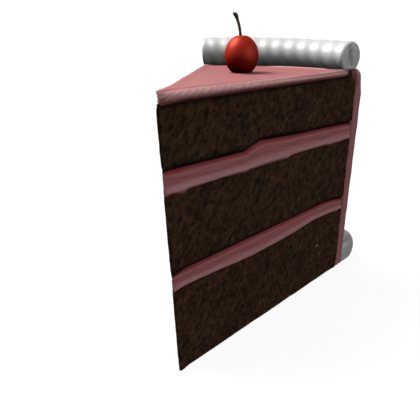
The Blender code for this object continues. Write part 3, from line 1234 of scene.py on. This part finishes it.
fruit = wire("cherry_fruit", cherry_outline())
edit(fruit)
bpy.ops.mesh.spin(steps=64, angle=2 * math.pi, center=cherry_middle, axis=(0, 0, 1))
bpy.ops.mesh.select_all(action="SELECT")
bpy.ops.mesh.remove_doubles(threshold=0.01 * MM)
face_outwards()
displace(fruit, relief("plump_skin", 6 * MM, noise_depth=0), 0.25 * MM)
smooth(fruit)
fruit.data.materials.append(cherry_material)
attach(fruit, "root")
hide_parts("cherry")
count(fruit)

# %% Grow the stem
stem_low, stem_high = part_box("cherry_stem")
STEM_STEPS = 28
STEM_SWAY = Vector((-2.3 * MM, -0.9 * MM, 0))
# Pairs of a share of the stem's length and its radius in mm, up to the knob where it was picked.
STEM_OUTLINE = ((0, 0.7), (0.25, 0.58), (0.75, 0.66), (0.92, 1.05), (0.97, 1.0), (1, 0.55))
FOOT_RADIUS = STEM_OUTLINE[0][1] * MM
stem_foot = Vector((cherry_middle.x - 0.5 * MM, cherry_middle.y, stem_low.z - 0.6 * MM))
stem_rise = stem_high.z - stem_foot.z - 0.1 * MM
bpy.ops.mesh.primitive_circle_add(vertices=16, radius=FOOT_RADIUS, fill_type="NGON", location=stem_foot)
stalk = settle("cherry_stalk")
edit(stalk)
before = Vector((0, 0, 0))
size_before = FOOT_RADIUS
for step in range(1, STEM_STEPS + 1):
    share = step / STEM_STEPS
    now = STEM_SWAY * share ** 2 + Vector((0, 0, stem_rise * share))
    bpy.ops.mesh.extrude_region_move(TRANSFORM_OT_translate={"value": now - before})
    size = level_at(STEM_OUTLINE, share) * MM
    bpy.ops.transform.resize(value=(size / size_before,) * 3)
    before = now
    size_before = size
face_outwards()
finish_with(stalk, "BEVEL", width=0.25 * MM, segments=3, limit_method="ANGLE", angle_limit=math.radians(60))
smooth(stalk, 50)
stalk.data.materials.append(stem_material)
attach(stalk, "root")
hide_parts("cherry_stem")
count(stalk)

# %% [markdown]
# ## A fleck of cream
# The knife left one small smear of pink cream low on the near cut face, near the rim. It starts as a
# sphere, is pressed flat against the crumb and slanted by a rule on each vertex, and is made uneven.

# %% Smear the fleck on the crumb
FLECK_RUN = 93 * MM
FLECK_HEIGHT = 22.8 * MM
FLECK_LONG = 1.2 * MM
FLECK_SUNK = 0.2
FLECK_TINT = 0.1
near_run = Vector((math.sin(HALF_ANGLE), math.cos(HALF_ANGLE), 0))
fleck_place = middle + near_run * FLECK_RUN + Vector((0, 0, FLECK_HEIGHT)) - near_normal * FLECK_SUNK * MM
bpy.ops.mesh.primitive_ico_sphere_add(subdivisions=4, radius=FLECK_LONG, location=fleck_place)
fleck = settle("cream_fleck")
for vertex in fleck.data.vertices:
    from_place = vertex.co - fleck_place
    along = from_place.dot(near_run)
    outward = from_place.dot(near_normal)
    flat = Vector((0, 0, from_place.z * 0.45 + along * 0.35))
    vertex.co = fleck_place + near_run * along * 0.9 + near_normal * outward * 0.4 + flat
displace(fleck, relief("smear", 0.8 * MM), 0.4 * MM)
smooth(fleck)
tints = fleck.data.attributes.new("band_share", "FLOAT", "POINT")
for tint in tints.data:
    tint.value = FLECK_TINT
fleck.data.materials.append(filling_material)
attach(fleck, "root")
count(fleck)

# %% [markdown]
# ## The studio
# The photo shows the slice alone on white, lit from high on the left, with the near cut face in soft
# shade. A pale floor and a white surround give the ground. They look white to the camera but light the
# cake only weakly, so that a soft lamp models the shapes. A weak lamp on the right lights the near cut.

# %% Floor and surround
FLOOR_SIZE = 8
FLOOR_GREY = (0.15, 0.15, 0.15, 1)
FLOOR_GLOW = 0.93
SKY_SEEN = 1.05
SKY_LIGHT = 0.215
WHITE = (1, 1, 1, 1)
bpy.ops.mesh.primitive_plane_add(size=FLOOR_SIZE, location=(0, 0, -0.2 * MM))
floor = settle("pale_floor")


def studio_paper():
    """Nearly white paper: bright to the camera, but quiet in the light that it sends back."""
    made = bpy.data.materials.new("pale_studio_paper")
    made.use_nodes = True
    tree = made.node_tree
    tree.nodes.clear()
    to_camera = add_node(tree, "ShaderNodeLightPath").outputs["Is Camera Ray"]
    paper = add_node(tree, "ShaderNodeBsdfDiffuse", {"Color": FLOOR_GREY}).outputs[0]
    glow = add_node(tree, "ShaderNodeEmission", {"Color": WHITE, "Strength": FLOOR_GLOW}).outputs[0]
    seen = add_node(tree, "ShaderNodeAddShader", {0: paper, 1: glow}).outputs[0]
    chosen = add_node(tree, "ShaderNodeMixShader", {0: to_camera, 1: paper, 2: seen})
    add_node(tree, "ShaderNodeOutputMaterial", {"Surface": chosen.outputs[0]})
    return made


floor.data.materials.append(studio_paper())

world = bpy.data.worlds.new("white_surround")
bpy.context.scene.world = world
world.use_nodes = True
tree = world.node_tree
tree.nodes.clear()
to_camera = add_node(tree, "ShaderNodeLightPath").outputs["Is Camera Ray"]
sky = {"Value": to_camera, "To Min": SKY_LIGHT, "To Max": SKY_SEEN}
sky_strength = add_node(tree, "ShaderNodeMapRange", sky).outputs["Result"]
surround = add_node(tree, "ShaderNodeBackground", {"Color": WHITE, "Strength": sky_strength})
add_node(tree, "ShaderNodeOutputWorld", {"Surface": surround.outputs[0]})
print("the floor is", FLOOR_SIZE, "m wide")

# %% A soft lamp from high on the left and a weak one on the right
# Each has a name, the direction it stands in, its strength and its width.
LAMPS = (
    ("soft_key", Vector((-0.62, -0.07, 0.78)), 3.1, math.radians(40)),
    ("weak_fill", Vector((0.97, -0.12, 0.08)), 0.57, math.radians(60)),
)
for name, direction, energy, width in LAMPS:
    bpy.ops.object.light_add(type="SUN", location=direction)
    lamp = bpy.context.active_object
    lamp.name = name
    lamp.data.energy = energy
    lamp.data.angle = width
    lamp.rotation_euler = direction.to_track_quat("Z", "Y").to_euler()
    print(name, "has a strength of", energy)

# %% [markdown]
# ## The camera
# The photo was taken from above the near cut face, close enough for the slice to narrow towards its
# foot. Its place, its angles and its lens were worked out from the slice's straight edges. The photo
# shows no light sent from one surface onto another: the cream is grey underneath although it lies over
# pink, and the seams are nearly black. So light that has met a surface once isn't followed any further.

# %% Camera
CAMERA_FROM_MIDDLE = Vector((72.24 * MM, -99.85 * MM, 128.28 * MM))
CAMERA_PITCH = math.radians(24.409)
CAMERA_TURN = math.radians(24.159)
bpy.ops.object.camera_add(
    location=middle + CAMERA_FROM_MIDDLE, rotation=(math.pi / 2 - CAMERA_PITCH, 0, CAMERA_TURN)
)
camera = bpy.context.active_object
camera.data.sensor_width = 36
camera.data.lens = 33.763
camera.data.shift_x = -0.0708
camera.data.clip_start = 0.005
scene = bpy.context.scene
scene.camera = camera
scene.view_settings.view_transform = "Standard"
scene.cycles.diffuse_bounces = 0
scene.cycles.glossy_bounces = 0
print("the camera is", round(CAMERA_FROM_MIDDLE.length / MM), "mm from the cake's middle")

# %% Remove the helpers
for helper in (crumb_grain, drag_grain):
    bpy.data.objects.remove(helper)
